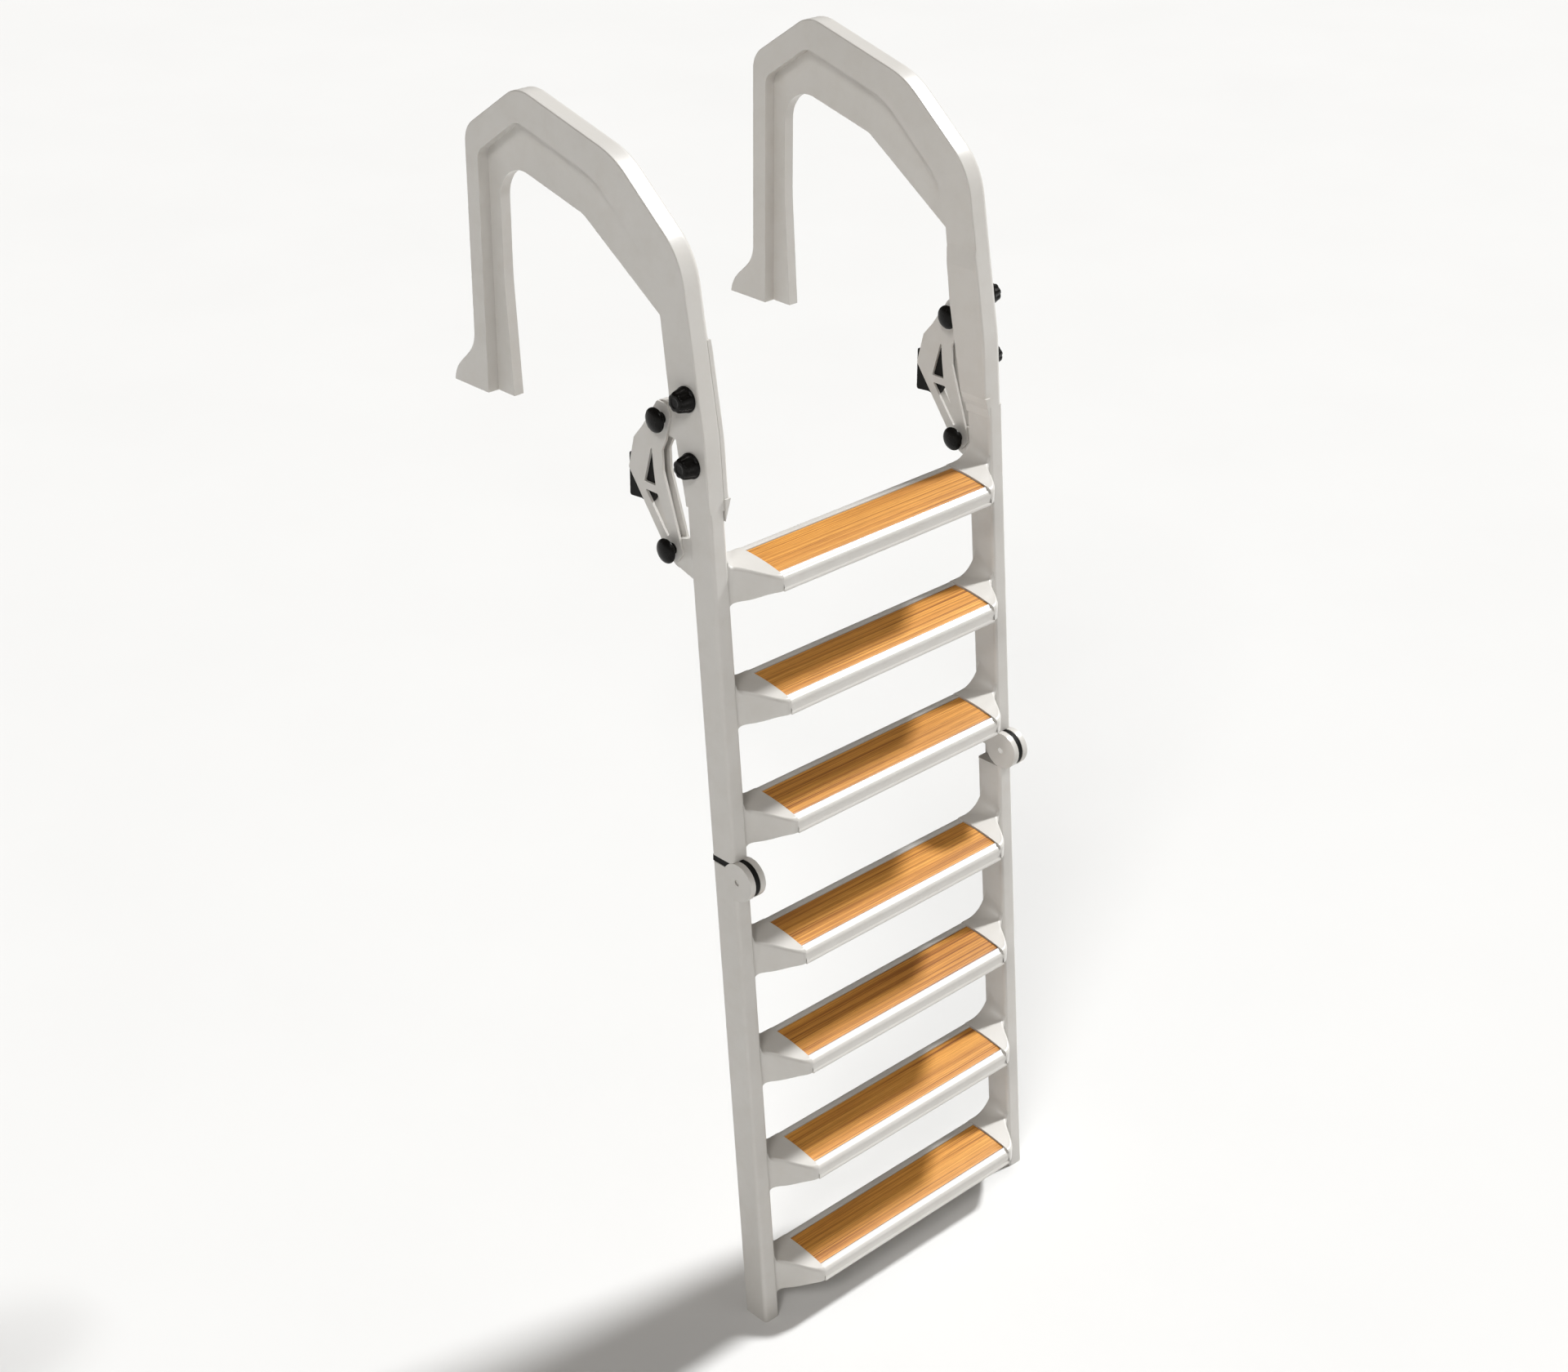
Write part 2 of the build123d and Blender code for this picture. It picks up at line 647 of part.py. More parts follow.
STEP_CASTING = casting()
STEP_INSERT = insert()
for number, z in enumerate(STEP_Z, start=1):
    place = Location((0, rear_y(z) - TREAD_SETBACK, z))
    save(STEP_CASTING.moved(place), f"step_casting_{number}")
    save(STEP_INSERT.moved(place), f"wood_insert_{number}")

# ---------------------------------------------------------------- stand-off brackets
# Outlines are (back, up) from the stringers' rear face at deck level.
PLATE_LINE = [
    (31, 100),
    (36, 122),
    (62, 122),
    (101, 64),
    (123, 38),
    (137.5, -22),
    (54, -134),
    (48, -160),
    (20, -165),
    (2, -142),
    (18, -96),
    (50, -3),
    (52, 34),
    (41, 57),
]
UPPER_CUT = [(78, 36), (98, -36), (69, -36), (74, -4)]
LOWER_CUT = [(95.5, -50), (41, -121), (32, -113), (65, -50)]
BLOCK_LINE = [
    (BLOCK_REAR, 3),
    (BLOCK_REAR, -77),
    (BLOCK_REAR - 30, -74),
    (92, -78),
    (80, -62),
    (67, -36),
    (74, 14),
    (117, 14),
]


def plate(which, x_near, x_far):
    """Cut-out side plate of a stand-off bracket."""
    blank = polygon_part(behind(PLATE_LINE), x_near, x_far, PLATE_CORNER)
    cuts = [
        polygon_part(behind(line), x_near, x_far, CUT_CORNER) for line in (UPPER_CUT, LOWER_CUT)
    ]
    holes = [disc(*pin_axis(pin), PIN_DIAMETER / 2 + FIT, x_near, x_far) for pin in PINS]
    with BuildPart() as sheet:
        add(blank)
        add(cuts + holes, mode=Mode.SUBTRACT)
    save(sheet.part, f"bracket_plate_{which}")


for name, hand in SIDES.items():
    centre = hand * EAR_CENTRE_X
    outer_face = centre + hand * EAR_HALF
    inner_face = centre - hand * EAR_HALF
    plate(f"{name}_outer", outer_face, outer_face + hand * PLATE_THICKNESS)
    plate(f"{name}_inner", inner_face, inner_face - hand * PLATE_THICKNESS)
    save(polygon_part(behind(BLOCK_LINE), inner_face, outer_face, BLOCK_CORNER), f"rest_block_{name}")


# ---------------------------------------------------------------- pull pins and clamp knobs
def pull_head(x_face, y, z):
    """Mushroom head and neck of a pull pin, pointing to -X from the plate's face."""
    neck_end = PULL_NECK_LENGTH + BODY_GAP
    tip = neck_end + PULL_HEAD_THICKNESS
    radius = PULL_HEAD_DIAMETER / 2
    bore = PIN_DIAMETER / 2
    dome = neck_end + PULL_RIM_LENGTH
    with BuildPart() as head:
        with BuildSketch(Plane(origin=(x_face, y, z), x_dir=(-1, 0, 0), z_dir=(0, 0, 1))):
            with BuildLine():
                Polyline(
                    (dome, bore),
                    (BODY_GAP, bore),
                    (BODY_GAP, PULL_NECK_DIAMETER / 2),
                    (neck_end, PULL_NECK_DIAMETER / 2 - 1),
                    (neck_end + 1, radius - 2),
                    (neck_end + 3, radius),
                    (dome, radius),
                )
                Spline((dome, radius), (tip, 0), tangents=((0.25, -0.3), (0, -1)))
                Polyline((tip, 0), (dome, 0), (dome, bore))
            make_face()
        revolve(axis=Axis((x_face, y, z), (1, 0, 0)))
    return head.part


def clamp_knob(hand, y, z):
    """Fluted knob, wide at the stringer and narrower at its tip."""
    base = hand * (OUTER_X + BODY_GAP)
    plane = Plane(origin=(base, y, z), x_dir=(0, 1, 0), z_dir=(hand, 0, 0))
    flute_circle = (KNOB_DIAMETER + KNOB_FLUTE_DIAMETER) / 2 - KNOB_FLUTE_DEPTH
    with BuildPart() as knob:
        with BuildSketch(plane):
            Circle(KNOB_DIAMETER / 2)
        with BuildSketch(plane.offset(KNOB_HEIGHT)):
            Circle(KNOB_TIP_DIAMETER / 2)
        loft()
        fillet(knob.edges().sort_by(Axis((0, 0, 0), (hand, 0, 0)))[-1], KNOB_TIP_EDGE)
        with BuildSketch(plane):
            with PolarLocations(flute_circle, KNOB_FLUTES):
                Circle(KNOB_FLUTE_DIAMETER / 2)
        extrude(amount=KNOB_HEIGHT, mode=Mode.SUBTRACT)
        with BuildSketch(plane):
            Circle(STUD_DIAMETER / 2)
        extrude(amount=KNOB_SOCKET, mode=Mode.SUBTRACT)
    return knob.part


for name, hand in SIDES.items():
    for level in PINS:
        pin_y, pin_z = pin_axis(level)
        x_face = hand * EAR_CENTRE_X - EAR_HALF - PLATE_THICKNESS
        x_tail = hand * EAR_CENTRE_X + EAR_HALF + PLATE_THICKNESS + PIN_TAIL
        x_socket = x_face - BODY_GAP - PULL_NECK_LENGTH - PULL_RIM_LENGTH
        save(pull_head(x_face, pin_y, pin_z), f"pull_head_{name}_{level}")
        shank = disc(pin_y, pin_z, PIN_DIAMETER / 2, x_socket, x_tail)
        save(shank, f"pull_pin_{name}_{level}")
    for level, height in KNOB_HEIGHTS.items():
        save(clamp_knob(hand, stud_y(height), height), f"clamp_knob_{name}_{level}")
        x_head = hand * (OUTER_X + BODY_GAP + KNOB_SOCKET)
        x_end = hand * (TONGUE_X - TONGUE_THICKNESS + STUD_SKIN + BODY_GAP)
        stud = disc(stud_y(height), height, STUD_DIAMETER / 2, x_end, x_head)
        save(stud, f"clamp_stud_{name}_{level}")
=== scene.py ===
"""Looks for the folding pool ladder: painted castings, teak inserts, black plastic and rubber.

Metres, in the row frame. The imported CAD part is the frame; the steps, inserts, knobs and pull heads
are replaced by finer meshes that stand where the CAD nodes stand.
"""

import json
import math

import bmesh
import bpy
from mathutils import Matrix, Vector


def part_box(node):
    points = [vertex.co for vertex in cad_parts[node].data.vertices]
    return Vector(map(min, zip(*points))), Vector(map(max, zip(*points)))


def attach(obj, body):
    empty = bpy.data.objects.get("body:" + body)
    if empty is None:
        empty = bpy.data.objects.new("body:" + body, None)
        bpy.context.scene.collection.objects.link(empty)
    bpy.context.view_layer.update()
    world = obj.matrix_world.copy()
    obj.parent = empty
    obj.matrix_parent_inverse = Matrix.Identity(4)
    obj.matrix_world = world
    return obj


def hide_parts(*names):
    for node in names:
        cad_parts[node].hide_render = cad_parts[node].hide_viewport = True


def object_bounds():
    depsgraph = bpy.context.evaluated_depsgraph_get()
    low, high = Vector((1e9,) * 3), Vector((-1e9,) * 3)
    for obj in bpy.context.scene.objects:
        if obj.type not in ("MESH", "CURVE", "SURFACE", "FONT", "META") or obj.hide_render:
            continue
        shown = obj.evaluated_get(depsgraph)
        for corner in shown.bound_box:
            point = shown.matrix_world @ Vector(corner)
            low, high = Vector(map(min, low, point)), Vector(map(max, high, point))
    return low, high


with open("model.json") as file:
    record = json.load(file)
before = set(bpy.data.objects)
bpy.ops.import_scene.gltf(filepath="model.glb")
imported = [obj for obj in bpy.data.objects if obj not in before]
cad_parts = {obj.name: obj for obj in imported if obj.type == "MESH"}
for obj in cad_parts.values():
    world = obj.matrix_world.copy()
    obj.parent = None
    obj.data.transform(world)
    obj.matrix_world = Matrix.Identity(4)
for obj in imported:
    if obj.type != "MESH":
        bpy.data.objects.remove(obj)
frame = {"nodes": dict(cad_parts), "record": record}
cad_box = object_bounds()

MM = 0.001
SIDES = {"left": -1, "right": 1}
LEVELS = ("upper", "lower")
UPPER_STEPS = 3
STEPS = 7


# ---------------------------------------------------------------- node material helpers
class Graph:
    """A material's node tree, with short calls for adding and linking nodes."""

    def __init__(self, name):
        self.material = bpy.data.materials.new(name)
        self.material.use_nodes = True
        self.tree = self.material.node_tree
        self.shader = self.tree.nodes["Principled BSDF"]
        self.coords = self.tree.nodes.new("ShaderNodeTexCoord").outputs["Object"]

    def node(self, kind, inputs=None, **settings):
        made = self.tree.nodes.new(kind)
        for key, value in settings.items():
            setattr(made, key, value)
        for key, value in (inputs or {}).items():
            if isinstance(value, bpy.types.NodeSocket):
                self.tree.links.new(value, made.inputs[key])
            else:
                made.inputs[key].default_value = value
        return made

    def noise(self, vector, scale, detail=4.0, rough=0.55, distortion=0.0):
        return self.node(
            "ShaderNodeTexNoise",
            {
                "Vector": vector,
                "Scale": scale,
                "Detail": detail,
                "Roughness": rough,
                "Distortion": distortion,
            },
        ).outputs["Fac"]

    def stretched(self, scale, offset=(0, 0, 0)):
        return self.node(
            "ShaderNodeMapping",
            {"Vector": self.coords, "Scale": scale, "Location": offset},
        ).outputs["Vector"]

    def ramp(self, fac, stops):
        made = self.node("ShaderNodeValToRGB", {"Fac": fac})
        elements = made.color_ramp.elements
        while len(elements) < len(stops):
            elements.new(0.5)
        for element, (place, colour) in zip(elements, stops):
            element.position = place
            element.color = (*colour, 1)
        return made.outputs["Color"]

    def math(self, kind, a, b=0.5):
        return self.node("ShaderNodeMath", {0: a, 1: b}, operation=kind).outputs[0]

    def mix(self, fac, a, b, kind="MIX"):
        made = self.node("ShaderNodeMix", data_type="RGBA", blend_type=kind)
        for index, value in ((0, fac), (6, a), (7, b)):
            if isinstance(value, bpy.types.NodeSocket):
                self.tree.links.new(value, made.inputs[index])
            else:
                made.inputs[index].default_value = value
        return made.outputs[2]

    def remap(self, value, low, high, out_low, out_high):
        return self.node(
            "ShaderNodeMapRange",
            {"Value": value, 1: low, 2: high, 3: out_low, 4: out_high},
        ).outputs[0]

    def bump(self, height, strength, distance, normal=None):
        inputs = {"Height": height, "Strength": strength, "Distance": distance}
        if normal is not None:
            inputs["Normal"] = normal
        return self.node("ShaderNodeBump", inputs).outputs["Normal"]

    def link(self, value, name):
        self.tree.links.new(value, self.shader.inputs[name])

    def set(self, **values):
        for key, value in values.items():
            self.shader.inputs[key.replace("_", " ")].default_value = value


def paint():
    """Warm off-white semi-gloss paint on a casting: faint flow, dust and rubbed patches."""
    g = Graph("white_paint")
    broad = g.noise(g.coords, 3.5, detail=3)
    patch = g.noise(g.coords, 26, detail=6, rough=0.65)
    peel = g.noise(g.coords, 520, detail=2)
    grain = g.noise(g.coords, 1500, detail=1)
    tone = g.ramp(broad, ((0.3, (0.600, 0.580, 0.548)), (0.7, (0.635, 0.617, 0.588))))
    dust = g.ramp(patch, ((0.45, (1, 1, 1)), (0.8, (0.965, 0.955, 0.94))))
    g.link(g.mix(1.0, tone, dust, "MULTIPLY"), "Base Color")
    rubbed = g.remap(patch, 0.3, 0.75, 0.30, 0.46)
    g.link(g.math("ADD", rubbed, g.remap(grain, 0.3, 0.7, -0.03, 0.03)), "Roughness")
    flow = g.bump(peel, 0.10, 0.0006)
    g.link(g.bump(patch, 0.06, 0.002, flow), "Normal")
    g.set(Coat_Weight=0.12, Coat_Roughness=0.22)
    return g.material


def teak():
    """Oiled teak with the grain along X: growth bands, dark streaks, fine fibres and pores."""
    g = Graph("teak")
    wander = g.noise(g.stretched((2.2, 9, 9)), 1.0, detail=2)
    bands = g.noise(g.stretched((0.9, 230, 75)), 1.0, detail=5, rough=0.6, distortion=0.5)
    streaks = g.noise(g.stretched((1.8, 480, 130), (3.1, 0.7, 1.9)), 1.0, detail=4, rough=0.5)
    fibres = g.noise(g.stretched((22, 1500, 500)), 1.0, detail=3)
    pores = g.noise(g.stretched((60, 2600, 900), (0.4, 0.2, 0)), 1.0, detail=2)
    body = g.ramp(
        bands,
        (
            (0.30, (0.290, 0.100, 0.012)),
            (0.42, (0.520, 0.215, 0.034)),
            (0.55, (0.700, 0.330, 0.060)),
            (0.72, (0.820, 0.430, 0.096)),
        ),
    )
    dark = g.ramp(streaks, ((0.30, (0.36, 0.22, 0.12)), (0.43, (1, 1, 1))))
    fine = g.ramp(fibres, ((0.30, (0.76, 0.72, 0.66)), (0.62, (1.05, 1.04, 1.02))))
    tone = g.ramp(wander, ((0.30, (0.86, 0.82, 0.78)), (0.70, (1.06, 1.05, 1.04))))
    colour = g.mix(1.0, body, dark, "MULTIPLY")
    colour = g.mix(1.0, colour, fine, "MULTIPLY")
    colour = g.mix(1.0, colour, tone, "MULTIPLY")
    specks = g.ramp(pores, ((0.27, (0.45, 0.36, 0.30)), (0.35, (1, 1, 1))))
    g.link(g.mix(0.8, colour, specks, "MULTIPLY"), "Base Color")
    g.link(g.remap(fibres, 0.25, 0.75, 0.62, 0.44), "Roughness")
    grooves = g.bump(streaks, 0.16, 0.0010)
    g.link(g.bump(fibres, 0.25, 0.0004, grooves), "Normal")
    g.set(Specular_IOR_Level=0.42)
    return g.material


def painted_gap_shade():
    """Near-black edge faces of a wood insert: painted shade standing in for the shadow in the gap
    round the insert.
    """
    g = Graph("teak_painted_gap_shade")
    fibres = g.noise(g.stretched((20, 900, 900)), 1.0, detail=3)
    # painted shade: near-black tone for the shadow in the gap round the insert, varied by fibre noise
    tone = g.ramp(fibres, ((0.3, (0.022, 0.012, 0.007)), (0.7, (0.06, 0.032, 0.016))))
    g.link(tone, "Base Color")
    g.link(g.bump(fibres, 0.2, 0.0004), "Normal")
    g.set(Roughness=0.7)
    return g.material


def plastic():
    """Black moulded plastic, semi-gloss with a fine spark texture and dulled patches."""
    g = Graph("black_plastic")
    spark = g.noise(g.coords, 2400, detail=2)
    patch = g.noise(g.coords, 60, detail=4)
    tone = g.ramp(patch, ((0.35, (0.004, 0.0036, 0.0032)), (0.7, (0.008, 0.0074, 0.0066))))
    g.link(tone, "Base Color")
    g.link(g.remap(patch, 0.3, 0.7, 0.18, 0.30), "Roughness")
    g.link(g.bump(spark, 0.10, 0.0002), "Normal")
    g.set(Specular_IOR_Level=0.12)
    return g.material


def rubber():
    """Black rubber with a satin, slightly dusty skin."""
    g = Graph("black_rubber")
    skin = g.noise(g.coords, 900, detail=3)
    dust = g.noise(g.coords, 45, detail=6, rough=0.7)
    g.link(g.ramp(dust, ((0.4, (0.005, 0.005, 0.0045)), (0.8, (0.014, 0.013, 0.012)))), "Base Color")
    g.link(g.remap(dust, 0.3, 0.75, 0.50, 0.74), "Roughness")
    g.link(g.bump(skin, 0.22, 0.0004), "Normal")
    g.set(Specular_IOR_Level=0.15)
    return g.material


def steel():
    """Turned stainless steel with rings round the pin's axis."""
    g = Graph("stainless")
    rings = g.noise(g.stretched((2600, 40, 40)), 1.0, detail=2)
    smudge = g.noise(g.coords, 70, detail=4)
    g.link(g.ramp(smudge, ((0.3, (0.50, 0.48, 0.45)), (0.7, (0.64, 0.62, 0.59)))), "Base Color")
    g.link(g.remap(rings, 0.3, 0.7, 0.22, 0.42), "Roughness")
    g.link(g.bump(rings, 0.15, 0.0002), "Normal")
    g.set(Metallic=1.0)
    return g.material


def floor_material():
    """Plain pale floor."""
    g = Graph("pale_floor")
    mottle = g.noise(g.coords, 1.4, detail=3)
    tone = g.ramp(mottle, ((0.3, (0.745, 0.742, 0.736)), (0.7, (0.757, 0.754, 0.748))))
    g.link(tone, "Base Color")
    g.set(Roughness=0.9, Specular_IOR_Level=0.1)
    return g.material


PAINT = paint()
TEAK = teak()
GAP_SHADE_PAINT = painted_gap_shade()
PLASTIC = plastic()
RUBBER = rubber()
STEEL = steel()
SLOT_MATERIALS = {
    "white_paint": PAINT,
    "teak": TEAK,
    "black_plastic": PLASTIC,
    "black_rubber": RUBBER,
    "stainless": STEEL,
}

for part in frame["record"]["subparts"]:
    node = frame["nodes"][part["node"]]
    node.data.materials.clear()
    node.data.materials.append(SLOT_MATERIALS[part["material_slot"]])


# ---------------------------------------------------------------- mesh helpers
def make_object(name, bm, materials, sharp_deg=32.0):
    """Object from a bmesh, smooth-shaded with edges sharper than an angle kept crisp."""
    bmesh.ops.remove_doubles(bm, verts=bm.verts, dist=1e-6)
    bmesh.ops.recalc_face_normals(bm, faces=bm.faces)
    limit = math.radians(sharp_deg)
    for face in bm.faces:
        face.smooth = True
    for edge in bm.edges:
        edge.smooth = len(edge.link_faces) == 2 and edge.calc_face_angle(math.pi) < limit
    mesh = bpy.data.meshes.new(name)
    bm.to_mesh(mesh)
    bm.free()
    for material in materials:
        mesh.materials.append(material)
    made = bpy.data.objects.new(name, mesh)
    bpy.context.scene.collection.objects.link(made)
    return made


def stand_for(piece, body, node):
    """A piece rides with a body and stands for a CAD node, which is hidden."""
    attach(piece, body)
    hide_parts(node)


def loft(bm, rings):
    """Faces between closed rings of points, with the two ends closed."""
    rows = [[bm.verts.new(point) for point in ring] for ring in rings]
    count = len(rows[0])
    for a, b in zip(rows, rows[1:]):
        for i in range(count):
            j = (i + 1) % count
            bm.faces.new((a[i], a[j], b[j], b[i]))
    bm.faces.new(list(reversed(rows[0])))
    bm.faces.new(rows[-1])


def node_centre(name):
    low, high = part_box(name)
    return [(a + b) / 2 for a, b in zip(low, high)]


def smoothstep(t):
    t = min(max(t, 0.0), 1.0)
    return t * t * (3 - 2 * t)


# ---------------------------------------------------------------- steps
# Millimetres about the insert's top rear edge: y forward is negative, z up.
TREAD_HALF = 260.0
TREAD_DEPTH = 83.0
STRINGER_X = 329.0
CROWN_RADIUS = 420.0
CROWN_START_DEG = 2
CROWN_START = CROWN_RADIUS * math.sin(math.radians(CROWN_START_DEG))
CROWN_TOP = CROWN_RADIUS * math.cos(math.radians(CROWN_START_DEG))
INSERT_THICKNESS = 9.0
GAP = 0.6
NOSE_Y = -98.0
REAR_Y = 15.0
NOSE_ROUND = 9.0
SKIN = 5.0
LIP_HEIGHT = 6.0
LIP_PROUD = 2.5
NOSE_HEIGHT = 27.0
PROUD = 3.0
ARRIS = 1.0  # softened long edge of an insert
BORDER_PROUD = 1.5  # casting's rear border above the insert
WAIST_DRAW = 65.5  # how far a bracket's front draws back between nose and stringer
WAIST_BIAS = 1.12
BRACKET_FOOT_Y = -32.0
BRACKET_DROP = 64.0
DROP_END_Y = -38.0  # where the bracket's underside reaches its full drop
TOP_BLEND_FRONT = 9.0
TOP_BLEND_REAR = 50.0
UNDER_BLEND = 21.0
BRACKET_EDGE = 2.6  # softened edges of a bracket
INSERT_ROWS = 24
POCKET_ROWS = 16


def crown(depth):
    """Height of the insert's crown at a distance forward of its start."""
    swing = math.asin((depth + CROWN_START) / CROWN_RADIUS)
    return CROWN_RADIUS * math.cos(swing) - CROWN_TOP


NOSE_Z = crown(-NOSE_Y)
NOSE_FOOT_Z = NOSE_Z - NOSE_HEIGHT
FLOOR_Z = crown(TREAD_DEPTH) - INSERT_THICKNESS - SKIN


def step_origin(number):
    """Where a step's insert has its top rear edge at mid length, from its CAD node's box."""
    low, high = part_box(f"wood_insert_{number}")
    return Vector(((low[0] + high[0]) / 2, high[1], high[2]))


def insert_mesh():
    """Crowned board with small rounded long edges and eased ends."""
    ring = []
    for i in range(INSERT_ROWS + 1):
        depth = ARRIS + (TREAD_DEPTH - 2 * ARRIS) * i / INSERT_ROWS
        ring.append((-depth, crown(depth)))
    front = crown(TREAD_DEPTH)
    ring += [(-TREAD_DEPTH + 0.3 * ARRIS, front - 0.2 * ARRIS), (-TREAD_DEPTH, front - ARRIS)]
    for i in range(INSERT_ROWS + 1):
        depth = TREAD_DEPTH * (1 - i / INSERT_ROWS)
        ring.append((-depth, crown(depth) - INSERT_THICKNESS))
    ring += [(0, -ARRIS), (-0.3 * ARRIS, -0.3 * ARRIS)]
    middle = Vector((0, -TREAD_DEPTH / 2, crown(TREAD_DEPTH / 2) - INSERT_THICKNESS / 2))
    rings = []
    stations = [(-TREAD_HALF, 1.0), (-TREAD_HALF + 0.35, 0.4), (-TREAD_HALF + 1.0, 0.0)]
    stations += [(x, 0.0) for x in range(-240, 241, 40)]
    stations += [(TREAD_HALF - 1.0, 0.0), (TREAD_HALF - 0.35, 0.4), (TREAD_HALF, 1.0)]
    for x, inset in stations:
        points = []
        for y, z in ring:
            inward_y = math.copysign(min(inset, abs(middle.y - y)), middle.y - y)
            inward_z = math.copysign(min(inset, abs(middle.z - z)), middle.z - z)
            edge = 1.0 if abs(y - middle.y) > TREAD_DEPTH / 2 - 2 else 0.0
            points.append(Vector((x, y + inward_y * edge, z + inward_z)) * MM)
        rings.append(points)
    bm = bmesh.new()
    loft(bm, rings)
    bmesh.ops.recalc_face_normals(bm, faces=bm.faces)
    # edge faces (not facing up) take material 1, the painted shade of the gap round the insert
    for face in bm.faces:
        if face.normal.z < 0.80:
            face.material_index = 1
    return bm


def waist(x):
    """Front limit of the end bracket at x: an S-curve from the nose back to the stringer."""
    t = (abs(x) - TREAD_HALF - 2) / (STRINGER_X - TREAD_HALF - 2)
    t = min(max(t, 0.0), 1.0)
    return NOSE_Y + WAIST_DRAW * smoothstep(t**WAIST_BIAS)


def blend_height(x, radius):
    """Rise of a round blend of a radius at x, tangent to the stringer's inner face."""
    into = min(max(abs(x) - (STRINGER_X - radius), 0.0), radius)
    return radius - math.sqrt(max(radius * radius - into * into, 0.0))


def top_blend(x, y):
    """Rise of the bracket's top towards the stringer; the blend is larger at the rear."""
    back = min(max((y - BRACKET_FOOT_Y) / (REAR_Y - BRACKET_FOOT_Y), 0.0), 1.0)
    return blend_height(x, TOP_BLEND_FRONT + (TOP_BLEND_REAR - TOP_BLEND_FRONT) * back)


def bracket_bottom(y):
    """Underside of the bracket: shallow at the nose, deep from its waist back to the rear."""
    t = (y - NOSE_Y) / (DROP_END_Y - NOSE_Y)
    return NOSE_FOOT_Z + (-BRACKET_DROP - NOSE_FOOT_Z) * smoothstep(t) ** 0.85


def channel_ring():
    """Cross-section of the casting between its end brackets, with the insert's pocket."""
    ring = [(REAR_Y, -1.0), (REAR_Y - 0.7, 0.8), (REAR_Y - 2.5, BORDER_PROUD)]
    ring.append((GAP + 1.4, BORDER_PROUD))
    ring += [(GAP + 0.4, 1.2), (GAP, 0.4), (GAP, -INSERT_THICKNESS + 0.5)]
    for i in range(POCKET_ROWS + 1):
        depth = (TREAD_DEPTH + GAP) * i / POCKET_ROWS
        ring.append((GAP * (1 - i / POCKET_ROWS) - depth, crown(depth) - INSERT_THICKNESS))
    front = crown(TREAD_DEPTH)
    ring += [(-TREAD_DEPTH - GAP, front - 0.2), (-TREAD_DEPTH - GAP - 0.4, front + 0.5)]
    ring.append((-TREAD_DEPTH - 2.0, front + 0.6))
    centre = (NOSE_Y + NOSE_ROUND, NOSE_Z + 1.0 - NOSE_ROUND)
    for i in range(9):
        turn = math.radians(100 + 80 * i / 8)
        ring.append(
            (centre[0] + NOSE_ROUND * math.cos(turn), centre[1] + NOSE_ROUND * math.sin(turn))
        )
    lip_top = NOSE_FOOT_Z + LIP_HEIGHT
    ring += [(NOSE_Y, lip_top + 0.8), (NOSE_Y - 0.4, lip_top)]
    ring.append((NOSE_Y - LIP_PROUD + 0.5, lip_top - 1.8))
    ring += [(NOSE_Y - LIP_PROUD, lip_top - 3.0), (NOSE_Y - LIP_PROUD, NOSE_FOOT_Z + 0.8)]
    ring += [(NOSE_Y - LIP_PROUD + 0.8, NOSE_FOOT_Z), (NOSE_Y + SKIN - 0.8, NOSE_FOOT_Z)]
    ring += [(NOSE_Y + SKIN, NOSE_FOOT_Z + 0.8), (NOSE_Y + SKIN, FLOOR_Z - 1.5)]
    ring.append((NOSE_Y + SKIN + 1.5, FLOOR_Z))
    for i in range(9):
        depth = (TREAD_DEPTH - 2) * (1 - i / 8) + 2
        ring.append((-depth, crown(depth) - INSERT_THICKNESS - SKIN))
    inner = REAR_Y - SKIN
    ring += [(inner - 1.5, -INSERT_THICKNESS - SKIN), (inner, -INSERT_THICKNESS - SKIN - 1.5)]
    ring += [(inner, lip_top + 0.6), (inner + 0.6, lip_top)]
    ring += [(REAR_Y - 0.6, lip_top), (REAR_Y, lip_top + 0.6)]
    return ring


CHANNEL = channel_ring()
# A bracket's ring shares its points out over top, nose, front and underside like the channel's.
TOP_COUNT = 7 + (POCKET_ROWS + 1) + 3
NOSE_COUNT = 9
FRONT_COUNT = 6
LEAD_IN = 3


def bracket_ring(x):
    """Cross-section of an end bracket at x, with as many points as the channel's."""
    front = waist(x)
    ring = []
    under = len(CHANNEL) - TOP_COUNT - NOSE_COUNT - FRONT_COUNT - LEAD_IN
    for i in range(TOP_COUNT):
        if i < 3:
            turn = math.radians(90 * i / 3)
            y = REAR_Y - BRACKET_EDGE * (1 - math.cos(turn))
            z = PROUD - BRACKET_EDGE * (1 - math.sin(turn))
            ring.append((y, z + top_blend(x, REAR_Y)))
            continue
        t = (i - 3) / (TOP_COUNT - 4)
        y = REAR_Y - BRACKET_EDGE + (front + NOSE_ROUND * 0.9 - REAR_Y + BRACKET_EDGE) * t
        ring.append((y, crown(max(-y, 0.0)) + PROUD + top_blend(x, y)))
    y_last, z_last = ring[-1]
    for i in range(1, NOSE_COUNT + 1):
        turn = math.radians(90 * i / NOSE_COUNT)
        y = y_last + (front - y_last) * math.sin(turn)
        z = z_last - 6.5 * (1 - math.cos(turn)) - 2.0 * math.sin(turn) * (y_last - y) / NOSE_ROUND
        ring.append((y, z))
    start = ring[-1][1]
    bottom = bracket_bottom(front) - blend_height(x, UNDER_BLEND)
    for i in range(1, FRONT_COUNT + 1):
        ring.append((front, start + (bottom + BRACKET_EDGE - start) * i / FRONT_COUNT))
    for i in range(1, LEAD_IN + 1):
        turn = math.radians(90 * i / LEAD_IN)
        y = front + BRACKET_EDGE * (1 - math.cos(turn))
        ring.append((y, bottom + BRACKET_EDGE * (1 - math.sin(turn))))
    for i in range(1, under + 1):
        t = i / under
        y = front + BRACKET_EDGE + (REAR_Y - front - BRACKET_EDGE) * t
        ring.append((y, bracket_bottom(y) - blend_height(x, UNDER_BLEND)))
    return ring


